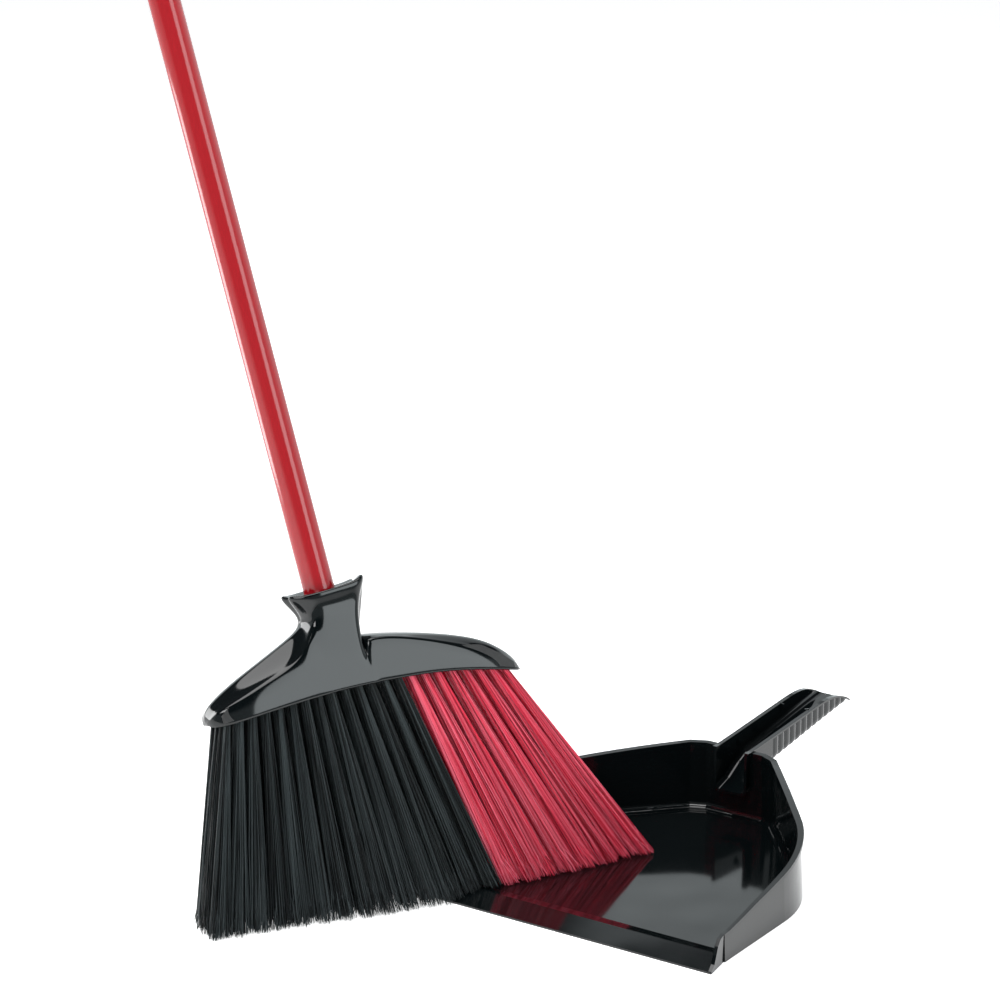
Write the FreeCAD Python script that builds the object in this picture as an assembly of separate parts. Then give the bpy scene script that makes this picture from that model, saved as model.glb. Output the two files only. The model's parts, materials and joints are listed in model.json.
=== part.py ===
import FreeCAD, Part

import math
import os

# Angle broom standing with its bristles half inside its dust pan.
# Millimetres, +Z up.  The origin is the middle of the pan's front lip, on the ground:
# +Y runs from the lip to the pan's grip, +X to the right of someone looking that way.

# ---------------------------------------------------------------- dust pan
PAN_LIP_HALF = 156.0          # half width of the front lip
PAN_FRONT_HALF = 150.2        # half width that the side walls aim at in front of the lip
PAN_FRONT_Y = -40.0
PAN_SIDE_HALF = 142.0         # half width at the side corner
PAN_CORNER_Y = 160.0          # depth of the side corner
PAN_BACK_Y = 281.0            # depth of the back wall
PAN_BACK_HALF = 34.8          # half width of the flat back wall
PAN_CHAMFER = 7.5             # narrow panel between the slanted and the back wall
PAN_WALL = 3.2
PAN_FLOOR_TOP = 5.0
PAN_FLOOR_THICK = 3.4
PAN_DRAFT = 3.0               # how much the walls lean in from the base to the top
PAN_TOP = 80.0                # height that the walls are drawn to before the rim cut
PAN_FLARE = 2.3               # rim width outside the wall
PAN_RIM_DEPTH = 3.0
PAN_CORNER_R = 112.0          # inner radius of the wide side corners
PAN_BASE_FILLET = 5.0
LIP_THICK = 1.6
CREASE_Y = 23.0
CREASE_TOP = 7.0
CREASE_RUN = 12.0             # behind the crease the ramp falls to the floor
SKIRT_START_Y = 26.0          # the walls reach the ground from here back
HOLLOW_START_Y = 30.0         # the hollow underside starts here

# rim height along the depth of the pan, from the lip's corner to the back
RIM_PROFILE = [(0.8, 1.8), (5.0, 3.6), (8.5, 8.0), (11.5, 14.0), (15.0, 19.3), (20.0, 22.2),
               (28.0, 23.0), (40.0, 24.8), (52.0, 27.0), (76.0, 32.0), (94.0, 35.4),
               (111.0, 39.0), (150.0, 48.0), (195.0, 56.5), (240.0, 62.0), (290.0, 65.0)]

# cheek: the thin web from the lip's corner to the side wall, half width out and depth
CHEEK_PLAN = [(152.9, 0.8), (155.9, 0.8), (150.6, 28.0), (147.2, 28.0)]

# pan grip: an open channel that clips on the broom handle
GRIP_IN_HALF = 13.6           # inside half width
GRIP_WALL = 2.3
GRIP_BOTTOM = 2.6
GRIP_CORNER = 7.0             # outer corner radius of the channel's section
GRIP_TOP = 95.0               # height that the section is drawn to before the top cut
GRIP_RIBS = 13
GRIP_RIB_PITCH = 9.4
GRIP_RIB_FIRST = 322.0
GRIP_RIB_RISE = 1.1
GRIP_BEAD = 1.7               # bead along the top edges: height, and width outside
GRIP_BEAD_OUT = 1.5
RIB_SHAPE = (0.0, 0.72, 1.0, 0.72)          # height along one rib, as a share of its rise

# underside of the grip along its depth; it drops to a scoop at the pan's back wall
GRIP_UNDERSIDE = [(272.0, 25.0), (290.0, 31.0), (304.0, 39.5), (317.3, 45.6), (350.0, 50.3),
                  (389.0, 56.0), (411.0, 59.0), (430.0, 61.5), (452.0, 64.0)]
# top edge of the grip
GRIP_TOP_EDGE = [(281.0, 65.6), (330.0, 69.8), (375.0, 73.8), (400.0, 75.7), (412.0, 75.6),
                 (422.0, 74.0), (432.0, 70.8), (440.0, 66.8), (448.0, 61.0)]
FIN_PLACES = (309.0, 377.0)
FIN = (3.2, 1.3, 9.0)         # reach into the channel, thickness, height
FIN_TOP = 20.5                # top of a fin above the grip's underside

# ---------------------------------------------------------------- broom pose
FOOT = FreeCAD.Vector(-136.4, -8.6, 2.75)   # where the handle's axis meets the sweep line
SWEEP_TURN = 61.1             # direction of the sweep line on the floor
SWEEP_SLOPE = 0.87            # the bristles climb over the lip
LEAN_BACK = 16.07             # head leans back from upright
HANDLE_SWEEP = 7.35           # handle against the square to the sweep line

# ---------------------------------------------------------------- handle
TUBE_D = 25.4
TUBE_WALL = 0.26
TUBE_BOTTOM = 226.0           # along the handle axis from FOOT
TUBE_LENGTH = 1016.0
TIP_D = 19.0
TIP_LENGTH = 30.0
TIP_PLUG = 40.0
THREAD_PITCH = 5.08
THREAD_TURNS = 5
THREAD_DEPTH = 1.3
THREAD_GROOVE = 2.0
TIP_HOLLOW_R = 6.0
TUBE_SEAT = 0.4               # gap between the socket's floor and the tube
CAP_LENGTH = 46.0
CAP_WALL = 1.4
CAP_CORE = 8.0                # hollow above the tube's end
CAP_CORE_R = 10.0
CAP_SKIRT = 22.0              # how far the cap reaches down over the tube
CAP_FLAT_HALF = 7.5           # half thickness of the flattened end
CAP_FLAT_START = 8.0          # heights above the tube's end
HANG_HEIGHT = 22.0
HANG_D = 9.0

# ---------------------------------------------------------------- broom head
HEAD_LEFT = -122.0
HEAD_RIGHT = 149.5
HEAD_HALF = 24.0              # half thickness of the shroud at its bottom edge
SHROUD_WALL = 2.4
COLLAR_HALF = 17.0            # half thickness of the collar
BLOCK_RECESS = 3.0
BLOCK_HEIGHT = 18.0
BLOCK_LEFT = -113.4
BLOCK_RIGHT = 143.4
SOCKET_R = 16.0
SCREW_CLEAR = 0.05
BORE_CLEAR = 0.35

# ---------------------------------------------------------------- bristles
TUFTS_PER_ROW = 22
BLACK_TUFTS = 14
ROOT_FIRST = -109.0
ROOT_LAST = 131.5
TIP_FIRST = -168.0
TIP_LAST = 206.0
ROOT_ROWS = (-15.0, -5.0, 5.0, 15.0)
TIP_ROWS = (-20.0, -9.5, 1.0, 11.5)
TIP_BULGE = (-13.0, -9.0, -4.0, 1.0)     # the middle of each row swells forwards
TUFT_SIDES = 12
ROOT_R = 2.4
TIP_R = 4.6
TIP_OVERRUN = 18.0            # tufts are drawn this far past their tips, then trimmed
HOLE_R = 2.7
HOLE_DEPTH = 12.0
FLOOR_GAP = 0.5               # above the pan, so that the two bodies stay apart
STAPLE = (3.6, 1.0, 0.5)

V = FreeCAD.Vector


def save(shape, name):
    """Check a node's shape and write it as STEP."""
    if not shape.isValid():
        raise ValueError(name + " is not a valid solid")
    shape.exportStep("parts/" + name + ".step")
    print(name, len(shape.Solids), "solid(s)", round(shape.Volume / 1000.0, 1), "cm3")


def offset_outline(points, distance):
    """Move every side of a closed anticlockwise outline outwards by a distance."""
    moved = []
    count = len(points)
    for i in range(count):
        before, here, after = points[i - 1], points[i], points[(i + 1) % count]
        first = (here - before).normalize()
        second = (after - here).normalize()
        out_first = V(first.y, -first.x, 0)
        out_second = V(second.y, -second.x, 0)
        bisector = out_first + out_second
        scale = 2.0 * distance / bisector.dot(bisector)
        moved.append(here + bisector * scale)
    return moved


def wire_at(points, z):
    """Closed wire of an outline at a height."""
    raised = [V(p.x, p.y, z) for p in points]
    return Part.makePolygon(raised + [raised[0]])


def side_slab(profile, low, high):
    """Solid under a (y, z) profile, from x = low to x = high."""
    face = Part.Face(Part.makePolygon([V(low, y, z) for y, z in profile + [profile[0]]]))
    return face.extrude(V(high - low, 0, 0))


def upright_edges(shape, where):
    """Nearly upright straight edges whose middle passes a test."""
    chosen = []
    for edge in shape.Edges:
        start, end = edge.Vertexes[0].Point, edge.Vertexes[-1].Point
        run = end - start
        if abs(run.z) > 20.0 and abs(run.z) > 0.9 * run.Length and where((start + end) * 0.5):
            chosen.append(edge)
    return chosen


# ---------------------------------------------------------------- dust pan
def pan_outline():
    """Plan of the inner face of the pan's walls at mid height, anticlockwise."""
    slant = V(PAN_BACK_HALF - PAN_SIDE_HALF, PAN_BACK_Y - PAN_CORNER_Y, 0).normalize()
    right = [V(PAN_FRONT_HALF, PAN_FRONT_Y, 0), V(PAN_SIDE_HALF, PAN_CORNER_Y, 0),
             V(PAN_BACK_HALF, PAN_BACK_Y, 0) - slant * PAN_CHAMFER,
             V(PAN_BACK_HALF - PAN_CHAMFER, PAN_BACK_Y, 0)]
    left = [V(-p.x, p.y, 0) for p in reversed(right)]
    return right + left


def at_side_corner(place):
    """True for the upright edges at the wide side corners."""
    return abs(place.y - PAN_CORNER_Y) < 15.0


def tub(outline, low, high, lean, corner_radius):
    """Solid inside the outline, leaning in by lean from low to high, side corners rounded."""
    bottom = wire_at(offset_outline(outline, lean * 0.5), low)
    top = wire_at(offset_outline(outline, -lean * 0.5), high)
    solid = Part.makeLoft([bottom, top], True, True)
    return solid.makeFillet(corner_radius, upright_edges(solid, at_side_corner))


def spline_points(places, count):
    """Points along a smooth curve through (y, z) places."""
    spline = Part.BSplineCurve()
    spline.interpolate([V(0, y, z) for y, z in places])
    return [(p.y, p.z) for p in spline.discretize(Number=count)]


def under_rim(drop, low):
    """Everything below the rim line lowered by drop, for trimming walls."""
    line = [(y, z - drop) for y, z in spline_points(RIM_PROFILE, 44)]
    profile = [(line[0][0], low)] + line + [(line[-1][0], low)]
    return side_slab(profile, -200.0, 200.0)


def make_basin():
    """Walls, rim and floor behind the lip."""
    outline = pan_outline()
    outer = tub(offset_outline(outline, PAN_WALL), 0.0, PAN_TOP, PAN_DRAFT,
                PAN_CORNER_R + PAN_WALL)
    rim_outline = offset_outline(outline, PAN_WALL + PAN_FLARE)
    for corner in (rim_outline[0], rim_outline[-1]):
        corner.x -= math.copysign(1.5 * PAN_FLARE, corner.x)     # the rim fades out forwards
    flange = tub(rim_outline, 0.0, PAN_TOP, PAN_DRAFT, PAN_CORNER_R + PAN_WALL + PAN_FLARE)
    inner = tub(outline, PAN_FLOOR_TOP, PAN_TOP + 5.0, PAN_DRAFT, PAN_CORNER_R)
    base = [e for e in inner.Edges if max(v.Z for v in e.Vertexes) < PAN_FLOOR_TOP + 0.1]
    inner = inner.makeFillet(PAN_BASE_FILLET, [e for e in base if e.BoundBox.YMax > 0.0])
    front = Part.makeBox(400, 100, 200, V(-200, SKIRT_START_Y - 100, -50))
    walls = outer.common(under_rim(0.0, -1.0))
    rim = flange.common(under_rim(0.0, -1.0)).cut(under_rim(PAN_RIM_DEPTH, -20.0))
    shell = walls.fuse(rim).cut(inner).cut(front)
    room = Part.makeBox(400, 400, 10 + PAN_FLOOR_TOP - PAN_FLOOR_THICK,
                        V(-200, HOLLOW_START_Y, -10))
    hollow = tub(outline, -1.0, PAN_TOP, 0.0, PAN_CORNER_R).common(room)
    return shell.cut(hollow)


def make_lip():
    """Ramp at the front: thin edge, crest and the fall to the floor."""
    profile = [(0.0, 0.0), (0.0, LIP_THICK), (CREASE_Y, CREASE_TOP),
               (CREASE_Y + CREASE_RUN, PAN_FLOOR_TOP),
               (HOLLOW_START_Y, PAN_FLOOR_TOP - PAN_FLOOR_THICK), (SKIRT_START_Y, 0.0)]
    ramp = side_slab(profile, -PAN_LIP_HALF, PAN_LIP_HALF)
    back_y = CREASE_Y + CREASE_RUN + 2.0
    back_half = PAN_SIDE_HALF + 7.0
    plan = [V(-PAN_LIP_HALF, 0, 0), V(PAN_LIP_HALF, 0, 0), V(back_half, SKIRT_START_Y, 0),
            V(back_half, back_y, 0), V(-back_half, back_y, 0), V(-back_half, SKIRT_START_Y, 0)]
    return ramp.common(Part.Face(wire_at(plan, -1.0)).extrude(V(0, 0, 20.0)))


def make_cheek(side):
    """Thin web that joins the lip's corner to the side wall, under the rim line."""
    points = [V(side * x, y, 0) for x, y in CHEEK_PLAN]
    block = Part.Face(wire_at(points, 0.0)).extrude(V(0, 0, PAN_TOP))
    return block.common(under_rim(0.0, -1.0))


def grip_section(half, low, radius, y):
    """Closed wire at depth y: a channel section with rounded lower corners."""
    left, right = V(-half, y, GRIP_TOP), V(half, y, GRIP_TOP)
    diagonal = radius * (1.0 - math.sqrt(0.5))
    edges = [Part.makeLine(left, V(-half, y, low + radius)),
             Part.Arc(V(-half, y, low + radius), V(-half + diagonal, y, low + diagonal),
                      V(-half + radius, y, low)).toShape(),
             Part.makeLine(V(-half + radius, y, low), V(half - radius, y, low)),
             Part.Arc(V(half - radius, y, low), V(half - diagonal, y, low + diagonal),
                      V(half, y, low + radius)).toShape(),
             Part.makeLine(V(half, y, low + radius), right), Part.makeLine(right, left)]
    return Part.Wire(edges)


def underside(y):
    """Height of the grip's underside at a depth."""
    for (y0, z0), (y1, z1) in zip(GRIP_UNDERSIDE, GRIP_UNDERSIDE[1:]):
        if y <= y1:
            return z0 + (z1 - z0) * (y - y0) / (y1 - y0)
    return GRIP_UNDERSIDE[-1][1]


def make_grip():
    """Outer body of the grip with its ribs, and the channel to cut from it."""
    out_half = GRIP_IN_HALF + GRIP_WALL
    steps = [(y, 0.0) for y, z in GRIP_UNDERSIDE if y < GRIP_RIB_FIRST - GRIP_RIB_PITCH]
    first = GRIP_RIB_FIRST - 0.5 * GRIP_RIB_PITCH
    for i in range(GRIP_RIBS * len(RIB_SHAPE)):
        y = first + i * GRIP_RIB_PITCH / len(RIB_SHAPE)
        steps.append((y, GRIP_RIB_RISE * RIB_SHAPE[i % len(RIB_SHAPE)]))
    steps.append((first + GRIP_RIBS * GRIP_RIB_PITCH, 0.0))
    steps.append((GRIP_UNDERSIDE[-1][0], 0.0))
    wires = [grip_section(out_half + rise, underside(y) - rise, GRIP_CORNER + rise, y)
             for y, rise in steps]
    outer = Part.makeLoft(wires, True, True)
    radius = GRIP_CORNER - GRIP_WALL
    places = [(y, z + GRIP_BOTTOM) for y, z in GRIP_UNDERSIDE]
    places = [(places[0][0] - 20.0, places[0][1])] + places
    places.append((places[-1][0] + 10.0, places[-1][1] + 1.0))
    channel = Part.makeLoft([grip_section(GRIP_IN_HALF, z, radius, y) for y, z in places],
                            True, True)
    line = spline_points(GRIP_TOP_EDGE, 24)
    end = GRIP_TOP_EDGE[-1][0]
    start = PAN_BACK_Y - 6.0
    top = [(start, line[0][1])] + line
    under_top = [(start, 20.0)] + top + [(end, 20.0)]
    body = outer.common(side_slab(under_top, -60.0, 60.0))
    bead_half = out_half + GRIP_BEAD_OUT
    bead_top = [p for p in top if p[1] > underside(p[0]) + GRIP_BEAD]
    bead = [(y, z - GRIP_BEAD) for y, z in reversed(bead_top)]
    body = body.fuse(side_slab(bead_top + bead, -bead_half, bead_half))
    return body, channel


def make_fin(side, y):
    """Thin wedge inside the channel that holds the broom handle down."""
    reach, thick, high = FIN
    top = underside(y) + FIN_TOP
    wall = side * (GRIP_IN_HALF + 0.5)
    points = [V(wall, y, top), V(side * (GRIP_IN_HALF - reach), y, top - 1.0),
              V(side * (GRIP_IN_HALF - reach), y, top - 2.6), V(wall, y, top - high)]
    return Part.Face(Part.makePolygon(points + [points[0]])).extrude(V(0, thick, 0))


def make_pan():
    """The whole dust pan in one piece."""
    grip, channel = make_grip()
    pan = make_basin().fuse([make_lip(), make_cheek(-1), make_cheek(1), grip])
    pan = pan.cut(channel)
    fins = [make_fin(side, y) for side in (-1, 1) for y in FIN_PLACES]
    return pan.fuse(fins).removeSplitter()


# ---------------------------------------------------------------- broom
def broom_place():
    """Placement of the broom: X across the head, Y to its back, Z along the handle."""
    turn = FreeCAD.Rotation(V(0, 0, 1), SWEEP_TURN)
    climb = FreeCAD.Rotation(V(0, 1, 0), -SWEEP_SLOPE)
    lean = FreeCAD.Rotation(V(1, 0, 0), -LEAN_BACK)
    sweep = FreeCAD.Rotation(V(0, 1, 0), -HANDLE_SWEEP)
    return FreeCAD.Placement(FOOT, turn.multiply(climb).multiply(lean).multiply(sweep))


PLACE = broom_place()


def placed(shape):
    """Move a shape from the broom's own frame to its standing place."""
    moved = shape.copy()
    moved.transformShape(PLACE.toMatrix())
    return moved


def face_xz(points, y):
    """Face of an (x, z) outline at a depth y."""
    corners = [V(x, y, z) for x, z in points]
    return Part.Face(Part.makePolygon(corners + [corners[0]]))


# lower edge of the shroud, from its left end to its right end
SHROUD_FOOT = [(-118.0, 172.0), (-60.0, 173.0), (-5.0, 171.5), (30.0, 168.5), (60.0, 164.5),
               (90.0, 158.5), (118.0, 151.0), (146.0, 141.5)]
# right shoulder up to the slot beside the collar
RIGHT_SHOULDER = [(148.0, 144.0), (145.0, 151.0), (134.0, 164.0), (118.0, 176.0), (96.0, 186.0),
                  (60.0, 197.0), (22.0, 207.0), (19.0, 196.0), (17.5, 196.0), (20.0, 210.0)]
COLLAR_RIGHT = [(26.0, 227.0), (34.0, 250.0), (36.0, 254.0), (33.0, 256.5), (28.0, 253.0)]
COLLAR_LEFT = [(-26.0, 253.0), (-31.0, 257.5), (-35.0, 255.5), (-29.0, 249.0), (-22.0, 241.0),
               (-19.5, 235.0)]
LEFT_SHOULDER = [(-27.0, 226.0), (-45.0, 218.0), (-69.0, 209.5), (-93.0, 201.0),
                 (-112.0, 191.0), (-119.5, 183.5), (-121.0, 177.0)]
# room inside the shroud, above and around the block
HEAD_ROOM = [(-114.0, 165.0), (143.8, 135.0), (143.8, 146.5), (131.0, 160.0), (116.0, 172.0),
             (94.5, 182.0), (59.0, 193.0), (24.0, 203.0), (-22.0, 222.0), (-45.0, 213.5),
             (-68.0, 205.0), (-91.0, 196.5), (-108.0, 188.0), (-114.5, 181.0)]


def foot_height(x):
    """Height of the shroud's lower edge at x."""
    for (x0, z0), (x1, z1) in zip(SHROUD_FOOT, SHROUD_FOOT[1:]):
        if x <= x1:
            return z0 + (z1 - z0) * (x - x0) / (x1 - x0)
    return SHROUD_FOOT[-1][1]


def rounded_ends(inset):
    """Plan of the head, with its four corners cut off, less an inset."""
    half = HEAD_HALF - inset
    left, right = HEAD_LEFT + inset, HEAD_RIGHT - inset
    plan = [V(left, -12, 0), V(left + 8, -half, 0), V(right - 8, -half, 0), V(right, -12, 0),
            V(right, 12, 0), V(right - 8, half, 0), V(left + 8, half, 0), V(left, 12, 0)]
    return Part.Face(wire_at(plan, 100.0)).extrude(V(0, 0, 200.0))


def head_room():
    """Space inside the shroud."""
    room = face_xz(HEAD_ROOM, -40.0).extrude(V(0, 80, 0))
    thin = SHROUD_WALL
    profile = [(-HEAD_HALF + thin, 130.0), (-HEAD_HALF + thin, 175.0),
               (-COLLAR_HALF + thin, 210.0), (-COLLAR_HALF + thin, 225.0),
               (COLLAR_HALF - thin, 225.0), (COLLAR_HALF - thin, 210.0),
               (HEAD_HALF - thin, 175.0), (HEAD_HALF - thin, 130.0)]
    room = room.common(side_slab(profile, -160.0, 180.0))
    return room.common(rounded_ends(thin))


def make_shroud():
    """Hollow shroud with its collar and the threaded socket for the handle."""
    outline = SHROUD_FOOT + RIGHT_SHOULDER + COLLAR_RIGHT + COLLAR_LEFT + LEFT_SHOULDER
    body = face_xz(outline, -40.0).extrude(V(0, 80, 0))
    side = [(-HEAD_HALF, 130.0), (-HEAD_HALF, 176.0), (-COLLAR_HALF, 212.0),
            (-COLLAR_HALF, 260.0), (COLLAR_HALF, 260.0), (COLLAR_HALF, 212.0),
            (HEAD_HALF, 176.0), (HEAD_HALF, 130.0)]
    body = body.common(side_slab(side, -160.0, 180.0)).common(rounded_ends(0.0))
    room = head_room()
    low = TUBE_BOTTOM - TIP_LENGTH
    room = room.cut(Part.makeCylinder(SOCKET_R, 60.0, V(0, 0, low - 2.0), V(0, 0, 1)))
    bore = Part.makeCylinder(TUBE_D / 2 + BORE_CLEAR, 80.0, V(0, 0, TUBE_BOTTOM), V(0, 0, 1))
    screw = Part.makeCylinder(TIP_D / 2 + SCREW_CLEAR, 60.0, V(0, 0, low - 4.0), V(0, 0, 1))
    return body.cut([room, bore, screw])


def root_x(i):
    """Place of a tuft's root along the block."""
    return ROOT_FIRST + i * (ROOT_LAST - ROOT_FIRST) / (TUFTS_PER_ROW - 1)


def tip_x(i):
    """Place of a tuft's tip along the sweep line."""
    return TIP_FIRST + i * (TIP_LAST - TIP_FIRST) / (TUFTS_PER_ROW - 1)


def tuft_axis(i, row):
    """Root point in the block and aim point below the floor, in the broom's frame."""
    x = root_x(i)
    root = V(x, ROOT_ROWS[row], foot_height(x) + BLOCK_RECESS)
    swell = TIP_BULGE[row] * math.sin(math.pi * (i / (TUFTS_PER_ROW - 1.0)) ** 1.15)
    tip = V(tip_x(i), TIP_ROWS[row] + swell,
            -math.tan(math.radians(HANDLE_SWEEP)) * tip_x(i))
    return root, tip


def make_block():
    """Block behind the shroud's lower edge, with a slanted hole for every tuft."""
    low = [(x, z + BLOCK_RECESS) for x, z in SHROUD_FOOT]
    high = [(x, z + BLOCK_HEIGHT) for x, z in low]
    low[0], high[0] = (BLOCK_LEFT, low[0][1]), (BLOCK_LEFT + 8.0, high[0][1] - 6.0)
    low[-1], high[-1] = (BLOCK_RIGHT, low[-1][1] + 0.6), (BLOCK_RIGHT - 22.0, high[-2][1] - 1.0)
    outline = low + [(BLOCK_RIGHT, low[-1][1] + 2.4)] + high[:0:-1]
    outline = outline + [high[0], (BLOCK_LEFT, low[0][1] + 6.0)]
    half = HEAD_HALF - SHROUD_WALL
    block = face_xz(outline, -half).extrude(V(0, 2 * half, 0)).common(head_room())
    holes = []
    for row in range(len(ROOT_ROWS)):
        for i in range(TUFTS_PER_ROW):
            root, tip = tuft_axis(i, row)
            way = (root - tip).normalize()
            holes.append(Part.makeCylinder(HOLE_R, HOLE_DEPTH + 6.0, root - way * 6.0, way))
    return block.cut(holes)


def pan_support(x, y, reach):
    """Highest point of the pan's lip or floor within reach of a plan point."""
    if y + reach < 0.0 or abs(x) - reach > PAN_LIP_HALF:
        return 0.0
    far = y + reach
    if far < CREASE_Y:
        return LIP_THICK + (CREASE_TOP - LIP_THICK) * far / CREASE_Y + FLOOR_GAP
    if y - reach < CREASE_Y + CREASE_RUN:
        return CREASE_TOP + FLOOR_GAP
    return PAN_FLOOR_TOP + FLOOR_GAP


def tuft_ring(centre, way, radius):
    """Closed many-sided ring square to a tuft."""
    side = way.cross(V(0, 1, 0)).normalize()
    corners = []
    for k in range(TUFT_SIDES):
        turn = FreeCAD.Rotation(way, 360.0 * k / TUFT_SIDES)
        corners.append(centre + turn.multVec(side) * radius)
    return Part.makePolygon(corners + [corners[0]])


def make_tuft(i, row):
    """One tuft: a slim many-sided cone from its hole down to whatever it stands on."""
    root, tip = tuft_axis(i, row)
    way = (root - tip).normalize()
    start = root + way * (HOLE_DEPTH - STAPLE[1])
    end = tip - way * TIP_OVERRUN
    rings = [tuft_ring(end, way, TIP_R + 0.15), tuft_ring(start, way, ROOT_R)]
    cone = placed(Part.makeLoft(rings, True, True))
    spot = PLACE.multVec(tip)
    ground = pan_support(spot.x, spot.y, TIP_R + 2.0)
    below = Part.makeBox(80, 80, 80, V(spot.x - 40, spot.y - 40, ground - 80))
    return cone.cut(below)


def make_staples(row):
    """Flat wire anchors across the bottoms of one row's holes."""
    wires = []
    for i in range(TUFTS_PER_ROW):
        root, tip = tuft_axis(i, row)
        way = (root - tip).normalize()
        wire = Part.makeBox(STAPLE[0], STAPLE[2], STAPLE[1] - 0.1,
                            V(-STAPLE[0] / 2, -STAPLE[2] / 2, 0.05))
        wire.Placement = FreeCAD.Placement(root + way * (HOLE_DEPTH - STAPLE[1]),
                                           FreeCAD.Rotation(V(0, 0, 1), way))
        wires.append(placed(wire))
    return Part.makeCompound(wires)


# ---------------------------------------------------------------- handle
def upright(radius, low, height):
    """Cylinder on the handle's axis."""
    return Part.makeCylinder(radius, height, V(0, 0, low), V(0, 0, 1))


def make_tube():
    """Thin coated steel tube, open at both ends."""
    outer = upright(TUBE_D / 2, TUBE_BOTTOM + TUBE_SEAT, TUBE_LENGTH)
    return outer.cut(upright(TUBE_D / 2 - TUBE_WALL, TUBE_BOTTOM - 1.0, TUBE_LENGTH + 2.0))


def make_tip():
    """Moulded tip: a plug pressed into the tube and the thread below it."""
    seat = TUBE_BOTTOM + TUBE_SEAT
    plug = upright(TUBE_D / 2 - TUBE_WALL, seat, TIP_PLUG)
    tip = plug.fuse(upright(TIP_D / 2, seat - TIP_LENGTH, TIP_LENGTH))
    cuts = [upright(TIP_HOLLOW_R, TUBE_BOTTOM + 6.0, TIP_PLUG)]
    for i in range(THREAD_TURNS):
        z = TUBE_BOTTOM - TIP_LENGTH + 3.0 + i * THREAD_PITCH
        ring = upright(TIP_D / 2 + 1.0, z, THREAD_GROOVE)
        cuts.append(ring.cut(upright(TIP_D / 2 - THREAD_DEPTH, z, THREAD_GROOVE)))
    return tip.cut(cuts)


def make_hang_cap():
    """Cap over the top of the tube, with a cross hole to hang the broom by."""
    top = TUBE_BOTTOM + TUBE_SEAT + TUBE_LENGTH
    radius = TUBE_D / 2 + CAP_WALL
    low = top - CAP_SKIRT
    body = upright(radius, low, CAP_LENGTH)
    body = body.fuse(Part.makeSphere(radius, V(0, 0, low + CAP_LENGTH)))
    body = body.cut(upright(TUBE_D / 2, low, CAP_SKIRT))
    for y in (-CAP_FLAT_HALF - 20.0, CAP_FLAT_HALF):
        body = body.cut(Part.makeBox(60, 20, 60, V(-30, y, top + CAP_FLAT_START)))
    hole = Part.makeCylinder(HANG_D / 2, 60.0, V(0, -30, top + HANG_HEIGHT), V(0, 1, 0))
    return body.cut([hole, upright(CAP_CORE_R, top, CAP_CORE)]).removeSplitter()


# ---------------------------------------------------------------- write all
os.makedirs("parts", exist_ok=True)
save(make_pan(), "dust_pan")
save(placed(make_shroud()), "head_shroud")
save(placed(make_block()), "bristle_block")
for row_index in range(len(ROOT_ROWS)):
    label = str(row_index + 1)
    tufts = [make_tuft(i, row_index) for i in range(TUFTS_PER_ROW)]
    save(Part.makeCompound(tufts[:BLACK_TUFTS]), "black_tufts_row_" + label)
    save(Part.makeCompound(tufts[BLACK_TUFTS:]), "red_tufts_row_" + label)
    save(make_staples(row_index), "tuft_staples_row_" + label)
save(placed(make_tube()), "handle_tube")
save(placed(make_tip()), "threaded_tip")
save(placed(make_hang_cap()), "hang_cap")
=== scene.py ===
import json
import math
import random

import bpy
from mathutils import Matrix, Vector


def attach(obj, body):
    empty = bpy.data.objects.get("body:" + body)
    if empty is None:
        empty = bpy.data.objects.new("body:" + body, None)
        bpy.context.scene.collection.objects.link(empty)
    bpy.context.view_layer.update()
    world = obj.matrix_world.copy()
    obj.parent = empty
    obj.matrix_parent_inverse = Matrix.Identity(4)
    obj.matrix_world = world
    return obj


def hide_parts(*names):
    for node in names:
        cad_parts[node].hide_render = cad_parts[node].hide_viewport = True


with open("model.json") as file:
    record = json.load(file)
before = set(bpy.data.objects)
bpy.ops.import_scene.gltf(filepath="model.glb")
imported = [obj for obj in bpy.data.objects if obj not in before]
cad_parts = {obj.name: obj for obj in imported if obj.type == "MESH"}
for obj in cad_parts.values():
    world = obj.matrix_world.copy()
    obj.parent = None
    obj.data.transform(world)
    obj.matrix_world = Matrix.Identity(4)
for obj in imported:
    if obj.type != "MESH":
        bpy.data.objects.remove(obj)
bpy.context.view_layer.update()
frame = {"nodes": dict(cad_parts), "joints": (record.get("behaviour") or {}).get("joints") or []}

# ---------------------------------------------------------------- the broom's own frame
# X runs across the head, Y to its back, Z up the handle; the zero point is where the
# handle's axis meets the sweep line.  Metres, and angles in degrees.
SWEEP_TURN = 61.1
SWEEP_SLOPE = 0.87
LEAN_BACK = 16.07
HANDLE_SWEEP = 7.35
TUBE_BOTTOM = 0.226

screw = [j for j in frame["joints"] if j["name"] == "handle_screw"][0]
handle_axis = Vector(screw["axis"])
foot = Vector(screw["pos_m"]) - handle_axis * TUBE_BOTTOM


def turned(degrees, axis):
    """Rotation about one of the axes, in degrees."""
    return Matrix.Rotation(math.radians(degrees), 4, axis)


BROOM = (Matrix.Translation(foot) @ turned(SWEEP_TURN, "Z") @ turned(-SWEEP_SLOPE, "Y")
         @ turned(-LEAN_BACK, "X") @ turned(-HANDLE_SWEEP, "Y"))
MM = 0.001
MERGE_GAP = 0.00001           # corners closer than this become one


# ---------------------------------------------------------------- modelling helpers
def deselect():
    """Leave edit mode and select nothing."""
    if bpy.context.object and bpy.context.object.mode != "OBJECT":
        bpy.ops.object.mode_set(mode="OBJECT")
    bpy.ops.object.select_all(action="DESELECT")


def only(piece):
    """Make one piece the active and only selected one."""
    deselect()
    piece.select_set(True)
    bpy.context.view_layer.objects.active = piece


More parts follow.
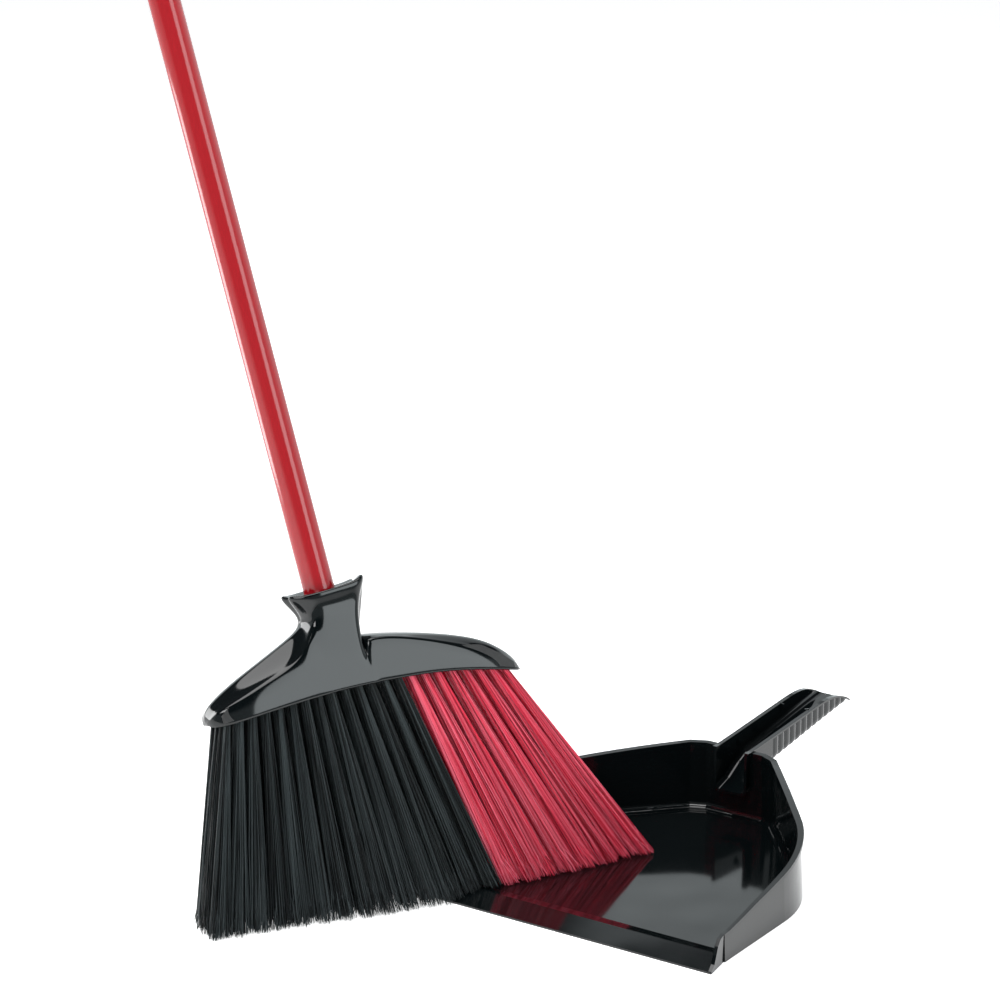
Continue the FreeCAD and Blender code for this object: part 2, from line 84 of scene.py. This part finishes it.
def apply_modifiers(piece):
    """Apply every modifier of a piece, in order."""
    only(piece)
    for modifier in list(piece.modifiers):
        bpy.ops.object.modifier_apply(modifier=modifier.name)


def stand_with_broom(piece):
    """Move a finished piece from the broom's own frame to where the broom stands."""
    piece.data.transform(BROOM)
    piece.data.update()


def loft(name, loops):
    """Skin a row of closed loops of equal length: a grid is added, shaped loop by loop, and
    its seam and both ends are closed."""
    around = len(loops[0])
    deselect()
    bpy.ops.mesh.primitive_grid_add(x_subdivisions=around, y_subdivisions=len(loops) - 1, size=1.0)
    skin = bpy.context.object
    skin.name = name
    skin.data.name = name
    for row, loop in enumerate(loops):
        for column in range(around + 1):
            skin.data.vertices[row * (around + 1) + column].co = loop[column % around]
    only(skin)
    bpy.ops.object.mode_set(mode="EDIT")
    bpy.ops.mesh.select_all(action="SELECT")
    bpy.ops.mesh.remove_doubles(threshold=MERGE_GAP)
    bpy.ops.mesh.select_all(action="DESELECT")
    bpy.ops.mesh.select_non_manifold()
    bpy.ops.mesh.fill()
    bpy.ops.mesh.select_all(action="SELECT")
    bpy.ops.mesh.normals_make_consistent(inside=False)
    bpy.ops.object.mode_set(mode="OBJECT")
    return skin


# ---------------------------------------------------------------- materials
def new_material(name, color, roughness):
    """A Principled material; returns it with its node tree and shader."""
    material = bpy.data.materials.new(name)
    material.use_nodes = True
    shader = material.node_tree.nodes["Principled BSDF"]
    shader.inputs["Base Color"].default_value = (*color, 1.0)
    shader.inputs["Roughness"].default_value = roughness
    material.diffuse_color = (*color, 1.0)
    return material, material.node_tree, shader


def group_input(group, name, value):
    """Add a number to a group's inputs."""
    socket = group.interface.new_socket(name=name, in_out="INPUT", socket_type="NodeSocketFloat")
    socket.default_value = value


def link(tree, start, end):
    """Join two sockets."""
    tree.links.new(start, end)


def moulded_surface_group():
    """Faint unevenness and handling marks of glossy moulded plastic and smooth coatings."""
    group = bpy.data.node_groups.new("moulded_surface", "ShaderNodeTree")
    group_input(group, "Roughness", 0.12)
    group_input(group, "Roughness Spread", 0.06)
    group_input(group, "Waviness", 0.02)
    group_input(group, "Pebble", 0.0)
    group.interface.new_socket(name="Roughness", in_out="OUTPUT", socket_type="NodeSocketFloat")
    group.interface.new_socket(name="Normal", in_out="OUTPUT", socket_type="NodeSocketVector")
    nodes = group.nodes
    inside = nodes.new("NodeGroupInput")
    outside = nodes.new("NodeGroupOutput")
    place = nodes.new("ShaderNodeTexCoord")
    smear = nodes.new("ShaderNodeTexNoise")
    smear.inputs["Scale"].default_value = 38.0
    smear.inputs["Detail"].default_value = 4.0
    scuff = nodes.new("ShaderNodeTexNoise")
    scuff.inputs["Scale"].default_value = 420.0
    scuff.inputs["Detail"].default_value = 2.0
    for texture in (smear, scuff):
        link(group, place.outputs["Object"], texture.inputs["Vector"])
    centred = nodes.new("ShaderNodeMath")
    centred.operation = "SUBTRACT"
    centred.inputs[1].default_value = 0.5
    link(group, smear.outputs["Fac"], centred.inputs[0])
    spread = nodes.new("ShaderNodeMath")
    spread.operation = "MULTIPLY_ADD"
    link(group, centred.outputs[0], spread.inputs[0])
    link(group, inside.outputs["Roughness Spread"], spread.inputs[1])
    link(group, inside.outputs["Roughness"], spread.inputs[2])
    link(group, spread.outputs[0], outside.inputs["Roughness"])
    wave = nodes.new("ShaderNodeTexNoise")
    wave.inputs["Scale"].default_value = 22.0
    wave.inputs["Detail"].default_value = 0.0
    link(group, place.outputs["Object"], wave.inputs["Vector"])
    slow = nodes.new("ShaderNodeBump")
    slow.inputs["Distance"].default_value = 0.01
    link(group, inside.outputs["Waviness"], slow.inputs["Strength"])
    link(group, wave.outputs["Fac"], slow.inputs["Height"])
    fine = nodes.new("ShaderNodeBump")
    fine.inputs["Distance"].default_value = 0.0004
    link(group, inside.outputs["Pebble"], fine.inputs["Strength"])
    link(group, scuff.outputs["Fac"], fine.inputs["Height"])
    link(group, slow.outputs["Normal"], fine.inputs["Normal"])
    link(group, fine.outputs["Normal"], outside.inputs["Normal"])
    return group


MOULDED = moulded_surface_group()


def add_moulded(tree, shader, roughness, spread, waviness, pebble=0.0):
    """Put the moulded surface into a material, with its own values."""
    node = tree.nodes.new("ShaderNodeGroup")
    node.node_tree = MOULDED
    node.inputs["Roughness"].default_value = roughness
    node.inputs["Roughness Spread"].default_value = spread
    node.inputs["Waviness"].default_value = waviness
    node.inputs["Pebble"].default_value = pebble
    link(tree, node.outputs["Roughness"], shader.inputs["Roughness"])
    link(tree, node.outputs["Normal"], shader.inputs["Normal"])


def black_gloss_plastic():
    """Glossy black moulding of the pan, the shroud and the cap."""
    material, tree, shader = new_material("black_gloss_plastic", (0.0025, 0.0042, 0.0048), 0.1)
    shader.inputs["Specular IOR Level"].default_value = 0.55
    add_moulded(tree, shader, 0.08, 0.05, 0.018)
    return material


def matte_black_plastic():
    """Duller plastic of the block and the threaded tip."""
    material, tree, shader = new_material("matte_black_plastic", (0.02, 0.02, 0.02), 0.5)
    add_moulded(tree, shader, 0.5, 0.15, 0.01, 0.4)
    return material


def red_coating():
    """Smooth red coating of the steel tube."""
    material, tree, shader = new_material("red_coating", (0.37, 0.005, 0.011), 0.2)
    shader.inputs["Specular IOR Level"].default_value = 0.65
    add_moulded(tree, shader, 0.14, 0.05, 0.006, 0.1)
    return material


def staple_steel():
    """Drawn steel wire of the staples."""
    material, tree, shader = new_material("staple_steel", (0.6, 0.59, 0.57), 0.35)
    shader.inputs["Metallic"].default_value = 1.0
    add_moulded(tree, shader, 0.35, 0.1, 0.01, 0.3)
    return material


def bristle_material(name, deep, middle, pale):
    """Filaments.  Colour comes from two mesh attributes: strand, a random number for each filament,
    and along, which is 0 at the block and 1 at the split tip."""
    material, tree, shader = new_material(name, middle, 0.36)
    nodes = tree.nodes
    strand = nodes.new("ShaderNodeAttribute")
    strand.attribute_name = "strand"
    along = nodes.new("ShaderNodeAttribute")
    along.attribute_name = "along"
    tone = nodes.new("ShaderNodeValToRGB")
    ramp = tone.color_ramp
    ramp.elements[0].position = 0.0
    ramp.elements[0].color = (*deep, 1.0)
    ramp.elements[1].position = 1.0
    ramp.elements[1].color = (*pale, 1.0)
    centre = ramp.elements.new(0.5)
    centre.color = (*middle, 1.0)
    link(tree, strand.outputs["Fac"], tone.inputs["Fac"])
    tip = nodes.new("ShaderNodeMapRange")
    tip.inputs["From Min"].default_value = 0.86
    tip.inputs["From Max"].default_value = 1.0
    tip.inputs["To Max"].default_value = 0.45
    link(tree, along.outputs["Fac"], tip.inputs["Value"])
    fray = nodes.new("ShaderNodeMix")
    fray.data_type = "RGBA"
    fray.inputs["B"].default_value = (*pale, 1.0)
    link(tree, tip.outputs["Result"], fray.inputs["Factor"])
    link(tree, tone.outputs["Color"], fray.inputs["A"])
    link(tree, fray.outputs["Result"], shader.inputs["Base Color"])
    shader.inputs["Specular IOR Level"].default_value = 0.3
    return material


def floor_material():
    """Bright seamless studio floor."""
    material, tree, shader = new_material("pale_floor", (0.9, 0.9, 0.9), 0.9)
    shader.inputs["Specular IOR Level"].default_value = 0.1
    shader.inputs["Emission Color"].default_value = (1.0, 1.0, 1.0, 1.0)
    shader.inputs["Emission Strength"].default_value = 0.72
    return material


BLACK_GLOSS = black_gloss_plastic()
MATTE_BLACK = matte_black_plastic()
RED_COATING = red_coating()
STEEL = staple_steel()
BLACK_BRISTLE = bristle_material("black_bristle", (0.0005, 0.0012, 0.0015), (0.003, 0.005, 0.006),
                                 (0.045, 0.057, 0.06))
RED_BRISTLE = bristle_material("red_bristle", (0.3, 0.004, 0.018), (0.9, 0.036, 0.088),
                               (0.95, 0.17, 0.25))


def cover(node, material):
    """Give a CAD node its finish."""
    piece = frame["nodes"][node]
    piece.data.materials.clear()
    piece.data.materials.append(material)


for node_name in frame["nodes"]:
    if node_name.startswith("tuft_staples"):
        cover(node_name, STEEL)
cover("dust_pan", BLACK_GLOSS)
cover("bristle_block", MATTE_BLACK)
cover("threaded_tip", MATTE_BLACK)
cover("hang_cap", BLACK_GLOSS)
cover("handle_tube", RED_COATING)


# ---------------------------------------------------------------- bristles
TUFTS_PER_ROW = 22
BLACK_TUFTS = 14
ROOT_FIRST, ROOT_LAST = -0.109, 0.1325
TIP_FIRST, TIP_LAST = -0.163, 0.205
ROOT_ROWS = (-0.015, -0.005, 0.005, 0.015)
TIP_ROWS = (-0.020, -0.0095, 0.001, 0.0115)
TIP_BULGE = (-0.013, -0.009, -0.004, 0.001)   # how far the middle of each row swells forwards
SHROUD_FOOT = [(-0.118, 0.172), (-0.060, 0.173), (-0.005, 0.1715), (0.030, 0.1685),
               (0.060, 0.1645), (0.090, 0.1585), (0.118, 0.151), (0.146, 0.1415)]
FILAMENTS = 120
FILAMENT_RADIUS = 0.00034
ROOT_REACH = 0.0022           # half width of a tuft where it leaves the block
TIP_REACH = (0.0085, 0.0055)  # half widths of a tuft at its tip, along and across the row
TIP_STRAY = (0.0011, 0.0008)  # how far single tips wander from that
TIP_RISE = 0.0016             # how uneven the tips' cut is
BOW = 0.0008                  # how far a filament bends off its line
HAIR_STRAY = 0.0022           # how far the short split hairs stand off
STEPS = (0.0, 0.3, 0.62, 0.9, 1.0)            # places along a filament
WIDTHS = (1.0, 1.0, 0.95, 0.8, 0.45)          # its thickness there
# what the bristles stand on: the pan's lip, its crease and its floor
LIP_HALF, LIP_TOP, CREASE_Y, CREASE_TOP, PAN_FLOOR = 0.156, 0.002, 0.023, 0.007, 0.005
LIP_EDGE = 0.004              # bristles this close to the lip's edge still rest on it
FALL_RUN = 0.02               # depth over which the ramp falls to the floor
ABOVE_PAN = 0.0006


def between(a, b, t):
    """Value a share t of the way from a to b."""
    return a + (b - a) * t


def foot_height(x):
    """Height of the shroud's lower edge at x."""
    for (x0, z0), (x1, z1) in zip(SHROUD_FOOT, SHROUD_FOOT[1:]):
        if x <= x1:
            return between(z0, z1, (x - x0) / (x1 - x0))
    return SHROUD_FOOT[-1][1]


def ground_under(place):
    """Height of what the bristles stand on: the floor, or the pan's lip and floor."""
    if place.y < -LIP_EDGE or abs(place.x) > LIP_HALF + LIP_EDGE:
        return 0.0
    if place.y < CREASE_Y:
        return between(LIP_TOP, CREASE_TOP, max(place.y, 0.0) / CREASE_Y) + ABOVE_PAN
    fall = min(1.0, (place.y - CREASE_Y) / FALL_RUN)
    return between(CREASE_TOP, PAN_FLOOR, fall) + ABOVE_PAN


def filament_points(root, tip, droop):
    """Points of one filament from the block to the ground, with a slight bend."""
    points = []
    for t in STEPS:
        bend = droop * math.sin(math.pi * t) * (0.4 + 0.6 * t)
        points.append(root.lerp(tip, t) + bend)
    return points


def drop_to_ground(root, tip, rise):
    """Shorten or lengthen a filament so that it ends rise above what it stands on."""
    start, end = BROOM @ root, BROOM @ tip
    level = ground_under(end) + rise
    t = (start.z - level) / max(start.z - end.z, 1e-6)
    return start, start.lerp(end, t)


def tuft_filaments(i, row, dice):
    """Filaments of one tuft: start, end, bend and tone of each."""
    share = i / (TUFTS_PER_ROW - 1)
    root_x = between(ROOT_FIRST, ROOT_LAST, share)
    tip_x = between(TIP_FIRST, TIP_LAST, share)
    root = Vector((root_x, ROOT_ROWS[row], foot_height(root_x) + 0.002))
    tip_y = TIP_ROWS[row] + TIP_BULGE[row] * math.sin(math.pi * share ** 1.15)
    tip = Vector((tip_x, tip_y, -math.tan(math.radians(HANDLE_SWEEP)) * tip_x))
    tuft_tone = dice.uniform(-0.12, 0.12)
    lean = Vector((dice.uniform(-0.0015, 0.0015), dice.uniform(-0.0015, 0.0015), 0.0))
    filaments = []
    for _ in range(FILAMENTS):
        angle = dice.uniform(0.0, 2.0 * math.pi)
        reach = math.sqrt(dice.random())
        side, depth = reach * math.cos(angle), reach * math.sin(angle)
        start = root + Vector((side * ROOT_REACH, depth * ROOT_REACH, 0.0))
        along = TIP_REACH[0] * side + dice.gauss(0.0, TIP_STRAY[0])
        across = TIP_REACH[1] * depth + dice.gauss(0.0, TIP_STRAY[1])
        end = tip + lean + Vector((along, across, 0.0))
        rise = abs(dice.gauss(0.0, TIP_RISE))
        world_start, world_end = drop_to_ground(start, end, rise)
        droop = Vector((dice.gauss(0.0, BOW), dice.gauss(0.0, BOW), 0.0))
        tone = min(1.0, max(0.0, 0.48 + tuft_tone + dice.gauss(0.0, 0.42)))
        filaments.append((world_start, world_end, droop, tone))
    for k in range(FILAMENTS // 4):
        whole_start, whole_end, _, tone = filaments[k * 3]
        split = whole_start.lerp(whole_end, dice.uniform(0.86, 0.93))
        stray = Vector((dice.gauss(0.0, HAIR_STRAY), dice.gauss(0.0, HAIR_STRAY),
                        dice.uniform(0.0, 0.002)))
        filaments.append((split, whole_end + stray, Vector((0.0, 0.0, 0.0)), min(1.0, tone + 0.3)))
    return filaments


def bristle_row(name, row, first, last, material, dice):
    """All filaments of a row's tufts of one colour, as one piece."""
    curve = bpy.data.curves.new(name, "CURVE")
    curve.dimensions = "3D"
    curve.bevel_depth = FILAMENT_RADIUS
    curve.bevel_resolution = 0
    curve.use_fill_caps = True
    tones = []
    for i in range(first, last):
        for start, end, droop, tone in tuft_filaments(i, row, dice):
            spline = curve.splines.new("POLY")
            spline.points.add(len(STEPS) - 1)
            points = filament_points(start, end, droop)
            for point, place, width in zip(spline.points, points, WIDTHS):
                point.co = (*place, 1.0)
                point.radius = width
            tones.append(tone)
    piece = bpy.data.objects.new(name, curve)
    bpy.context.scene.collection.objects.link(piece)
    only(piece)
    bpy.ops.object.convert(target="MESH")
    piece = bpy.context.object
    mesh = piece.data
    each = len(mesh.vertices) // len(tones)
    ring = each // len(STEPS)
    strand = mesh.attributes.new("strand", "FLOAT", "POINT")
    along = mesh.attributes.new("along", "FLOAT", "POINT")
    strand.data.foreach_set("value", [t for t in tones for _ in range(each)])
    one = [STEPS[min(k // ring, len(STEPS) - 1)] for k in range(each)]
    along.data.foreach_set("value", one * len(tones))
    mesh.materials.append(material)
    bpy.ops.object.shade_smooth()
    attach(piece, "broom_head")
    return piece


def make_bristles():
    """Four rows of tufts, black first and then red."""
    for row in range(len(ROOT_ROWS)):
        label = str(row + 1)
        dice = random.Random(40 + row)
        black = bristle_row("black_bristles_row_" + label, row, 0, BLACK_TUFTS, BLACK_BRISTLE,
                            dice)
        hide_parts("black_tufts_row_" + label)
        red = bristle_row("red_bristles_row_" + label, row, BLACK_TUFTS, TUFTS_PER_ROW,
                          RED_BRISTLE, dice)
        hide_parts("red_tufts_row_" + label)


# ---------------------------------------------------------------- head shroud
# wing stations, mm: place across the head, lower edge, crease of the face, ridge, half thickness
LEFT_WING = [(-121.8, 175.2, 176.8, 178.6, 4.5), (-120.8, 173.8, 179.0, 182.8, 10.5),
             (-117.6, 172.8, 182.8, 187.4, 15.8), (-111.0, 172.4, 186.0, 191.8, 20.2),
             (-101.0, 172.5, 188.6, 196.8, 22.9), (-88.0, 172.8, 191.6, 202.4, 24.0),
             (-68.0, 173.0, 197.0, 209.6, 24.0),
             (-50.0, 173.0, 201.4, 216.2, 24.0), (-38.0, 172.8, 207.0, 220.8, 23.9),
             (-28.5, 172.5, 216.0, 225.0, 23.7)]
RIGHT_WING = [(22.0, 169.2, 204.4, 207.8, 23.6), (27.0, 168.7, 204.4, 207.6, 23.8),
              (42.0, 166.7, 201.4, 204.4, 24.0), (65.0, 163.6, 193.0, 197.8, 24.0),
              (88.0, 159.0, 182.8, 190.0, 24.0), (108.0, 153.7, 172.8, 182.0, 23.6),
              (124.0, 149.0, 163.2, 173.6, 22.4), (136.0, 145.0, 154.6, 163.8, 20.0),
              (144.5, 142.2, 147.6, 154.6, 16.0), (149.0, 141.4, 143.4, 147.4, 9.0)]
RECESS = 3.5                  # depth of the pocket that the block sits in
SHELL = 2.2                   # thickness of the shroud's lower edge

# collar stations, mm: nine points each (across, depth, height), from the lower edge of the face
# up to the top edge and a little way down behind it
COLLAR = [
    [(-21.0, -23.9, 174.0), (-21.0, -23.2, 196.0), (-20.8, -20.9, 217.0), (-20.0, -18.8, 225.6),
     (-19.3, -13.6, 229.6), (-18.8, -8.4, 231.2), (-18.6, -4.0, 232.0), (-18.6, -1.8, 232.2),
     (-18.6, -0.8, 232.2)],
    [(-17.0, -23.9, 174.0), (-17.0, -23.2, 195.4), (-17.4, -20.8, 216.4), (-17.4, -18.8, 227.0),
     (-18.2, -15.6, 233.8), (-23.2, -12.0, 243.4), (-33.2, -9.0, 252.4), (-34.6, -6.0, 257.4),
     (-29.5, -2.4, 254.6)],
    [(-13.0, -23.9, 173.8), (-13.2, -23.2, 194.6), (-14.0, -20.9, 215.4), (-14.0, -19.0, 228.0),
     (-15.0, -17.4, 235.6), (-18.8, -16.6, 243.6), (-25.4, -16.0, 251.6), (-25.4, -11.0, 254.6),
     (-21.4, -4.0, 249.6)],
    [(-8.0, -23.9, 173.4), (-8.4, -23.2, 194.0), (-9.4, -21.0, 213.6), (-9.4, -19.4, 228.0),
     (-9.8, -18.4, 236.0), (-12.0, -18.8, 243.6), (-15.8, -20.0, 251.4), (-15.6, -18.0, 253.2),
     (-14.6, -6.0, 248.8)],
    [(0.0, -23.9, 172.8), (-0.2, -23.3, 192.6), (0.6, -21.1, 211.6), (1.6, -19.5, 227.2),
     (2.2, -18.6, 236.0), (3.2, -19.1, 243.6), (4.4, -20.6, 251.2), (4.4, -18.4, 252.8),
     (4.0, -6.0, 249.0)],
    [(6.4, -23.9, 172.2), (6.8, -23.3, 191.2), (9.2, -21.3, 209.0), (12.6, -19.5, 225.4),
     (15.0, -18.6, 234.0), (18.4, -19.0, 243.0), (22.4, -20.4, 251.2), (22.2, -17.8, 252.8),
     (20.0, -6.0, 249.4)],
    [(11.2, -23.9, 171.8), (11.8, -23.3, 189.8), (15.0, -21.4, 206.4), (20.2, -19.2, 224.4),
     (23.6, -18.4, 234.0), (28.2, -18.6, 244.0), (33.0, -19.4, 252.6), (32.2, -16.4, 255.8),
     (28.6, -5.0, 251.4)],
    [(14.2, -23.9, 171.6), (14.4, -23.3, 187.4), (16.2, -20.8, 200.6), (20.7, -13.0, 219.0),
     (24.3, -10.6, 232.6), (29.6, -10.0, 243.6), (37.2, -9.0, 253.2), (38.2, -5.8, 258.4),
     (33.4, -2.4, 255.4)],
    [(16.7, -23.9, 171.2), (16.8, -23.3, 186.0), (16.9, -21.6, 193.0), (17.1, -15.0, 195.0),
     (17.2, -10.0, 195.4), (17.4, -6.0, 195.8), (17.6, -2.8, 196.0), (17.8, -1.6, 196.2),
     (17.8, -0.8, 196.2)],
    [(19.2, -23.9, 170.8), (19.3, -23.4, 187.4), (19.4, -22.2, 199.0), (19.4, -18.6, 203.4),
     (19.4, -14.0, 205.4), (19.4, -8.0, 206.6), (19.4, -4.0, 207.3), (19.4, -2.2, 207.6),
     (19.4, -0.9, 207.6)],
]
BACK_DROP = 4.0               # the collar's back edge is this much lower on its right side


SOFT_BEVEL = (0.62, 0.34, 0.17, 0.1)          # how far out the bevel's points lie
STEEP_BEVEL = (0.8, 0.66, 0.5, 0.3)


def wing_points(x, low, crease, ridge, half, bevel):
    """Points up the front of a wing station, from above the lower edge to the ridge."""
    rise = ridge - crease
    first, second, third, fourth = (-half * share for share in bevel)
    return [(x, -half, low + 1.5), (x, -half * 0.985, between(low, crease, 0.55)),
            (x, -half * 0.93, crease - 1.6), (x, -half * 0.88, crease + 0.2),
            (x, first, crease + 0.24 * rise), (x, second, crease + 0.66 * rise),
            (x, third, ridge - 0.5), (x, fourth, ridge), (x, -half * 0.04, ridge)]


def station_loop(front, low, half, depth):
    """Closed loop of a station: pocket, lower edge, front, top and the same at the back."""
    x = front[0][0]
    inner = max(half - SHELL, half * 0.6)
    pocket = [(x, -inner * 0.5, low + depth), (x, -inner, low + depth), (x, -inner, low + 0.3),
              (x, -inner - 0.5, low), (x, -half + 0.5, low)]
    side = pocket + front
    drop = BACK_DROP * min(1.0, max(0.0, (x - 2.0) / 6.0))
    back = [(px, -py, pz - drop * min(1.0, max(0.0, (pz - 238.0) / 12.0)))
            for px, py, pz in reversed(side)]
    loop = side + back
    return [Vector(p) * MM for p in loop]


def shroud_loops():
    """Closed loops across the head, from its left end to its right end."""
    loops = []
    for index, (x, low, crease, ridge, half) in enumerate(LEFT_WING):
        depth = 0.0 if index < 2 else RECESS
        front = wing_points(x, low, crease, ridge, half, SOFT_BEVEL)
        loops.append(station_loop(front, low, half, depth))
    for front in COLLAR:
        half = -front[0][1] + 0.2
        loops.append(station_loop(front, front[0][2] - 1.6, half, RECESS))
    for index, (x, low, crease, ridge, half) in enumerate(RIGHT_WING):
        depth = 0.0 if index > len(RIGHT_WING) - 3 else RECESS
        front = wing_points(x, low, crease, ridge, half, STEEP_BEVEL)
        loops.append(station_loop(front, low, half, depth))
    return loops


def make_shroud():
    """Smooth glossy shell over the block, with the collar for the handle."""
    shroud = loft("head_shroud_shell", shroud_loops())
    shroud.data.materials.append(BLACK_GLOSS)
    subdivide = shroud.modifiers.new("round", "SUBSURF")
    subdivide.levels = subdivide.render_levels = 3
    apply_modifiers(shroud)
    only(shroud)
    bpy.ops.object.shade_smooth()
    stand_with_broom(shroud)
    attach(shroud, "broom_head")
    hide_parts("head_shroud")


# ---------------------------------------------------------------- scene
CAMERA_PLACE = Vector((1.6525, -2.4022, 1.2444))
CAMERA_HEADING = 35.2          # degrees from +Y towards -X
CAMERA_DROP = 17.0


def make_camera():
    """Long lens, looking down at the set from its front right."""
    data = bpy.data.cameras.new("camera")
    data.sensor_width = 36.0
    data.lens = 144.0
    data.clip_end = 100.0
    camera = bpy.data.objects.new("camera", data)
    bpy.context.scene.collection.objects.link(camera)
    heading, drop = math.radians(CAMERA_HEADING), math.radians(CAMERA_DROP)
    look = Vector((-math.sin(heading) * math.cos(drop), math.cos(heading) * math.cos(drop),
                   -math.sin(drop)))
    camera.location = CAMERA_PLACE
    camera.rotation_euler = look.to_track_quat("-Z", "Y").to_euler()
    bpy.context.scene.camera = camera


def area_light(name, place, aim, size, power, color=(1.0, 1.0, 1.0)):
    """Softbox at a place, turned to face its aim."""
    data = bpy.data.lights.new(name, "AREA")
    data.shape = "RECTANGLE"
    data.size, data.size_y = size
    data.energy = power
    data.color = color
    light = bpy.data.objects.new(name, data)
    bpy.context.scene.collection.objects.link(light)
    light.location = place
    light.visible_camera = False
    light.rotation_euler = (Vector(aim) - Vector(place)).to_track_quat("-Z", "Y").to_euler()


def make_world():
    """Walls of the studio: bright low down, dark above, and dimmer on the camera's side."""
    world = bpy.data.worlds.new("studio")
    bpy.context.scene.world = world
    world.use_nodes = True
    tree = world.node_tree
    place = tree.nodes.new("ShaderNodeTexCoord")
    split = tree.nodes.new("ShaderNodeSeparateXYZ")
    link(tree, place.outputs["Generated"], split.inputs["Vector"])
    ramp = tree.nodes.new("ShaderNodeValToRGB")
    ramp.color_ramp.elements[0].position = 0.34
    ramp.color_ramp.elements[0].color = (0.92, 1.0, 1.02, 1.0)
    ramp.color_ramp.elements[1].position = 0.46
    ramp.color_ramp.elements[1].color = (0.05, 0.05, 0.053, 1.0)
    link(tree, split.outputs["Z"], ramp.inputs["Fac"])
    behind = tree.nodes.new("ShaderNodeVectorMath")
    behind.operation = "DOT_PRODUCT"
    behind.inputs[1].default_value = (-0.576, 0.817, 0.0)
    link(tree, place.outputs["Generated"], behind.inputs[0])
    share = tree.nodes.new("ShaderNodeMapRange")
    share.inputs["From Min"].default_value = -0.6
    share.inputs["From Max"].default_value = 0.4
    share.inputs["To Min"].default_value = 0.3
    share.inputs["To Max"].default_value = 1.25
    link(tree, behind.outputs["Value"], share.inputs["Value"])
    dimmed = tree.nodes.new("ShaderNodeVectorMath")
    dimmed.operation = "SCALE"
    link(tree, ramp.outputs["Color"], dimmed.inputs[0])
    link(tree, share.outputs["Result"], dimmed.inputs["Scale"])
    path = tree.nodes.new("ShaderNodeLightPath")
    seen = tree.nodes.new("ShaderNodeMix")
    seen.data_type = "RGBA"
    seen.inputs["B"].default_value = (1.0, 1.0, 1.0, 1.0)
    link(tree, path.outputs["Is Camera Ray"], seen.inputs["Factor"])
    link(tree, dimmed.outputs["Vector"], seen.inputs["A"])
    link(tree, seen.outputs["Result"], tree.nodes["Background"].inputs["Color"])


COOL = (0.93, 1.0, 1.02)


def make_stage():
    """Floor, softboxes and the studio around them."""
    deselect()
    bpy.ops.mesh.primitive_plane_add(size=40.0, location=(0.0, 0.0, 0.0))
    floor = bpy.context.object
    floor.name = "floor"
    floor.data.materials.append(floor_material())
    area_light("overhead_softbox", (-0.4, 0.0, 2.9), (-0.2, 0.1, 0.0), (2.4, 2.4), 64.0)
    area_light("right_softbox", (3.2, -0.1, 1.6), (-0.2, 0.0, 0.3), (1.7, 2.1), 36.0, COOL)
    area_light("front_softbox", (0.2, -3.2, 2.75), (-0.15, 0.0, 0.1), (2.0, 1.2), 52.0)
    area_light("left_strip", (-0.77, -0.168, 0.31), (-0.3, -0.005, 0.5), (0.26, 0.38), 1.9)
    area_light("back_card", (-0.9, 2.4, 1.85), (0.1, 0.0, 0.0), (2.0, 1.2), 6.0, COOL)
    make_world()
    bpy.context.scene.view_settings.view_transform = "Standard"


make_camera()
make_stage()
make_bristles()
make_shroud()
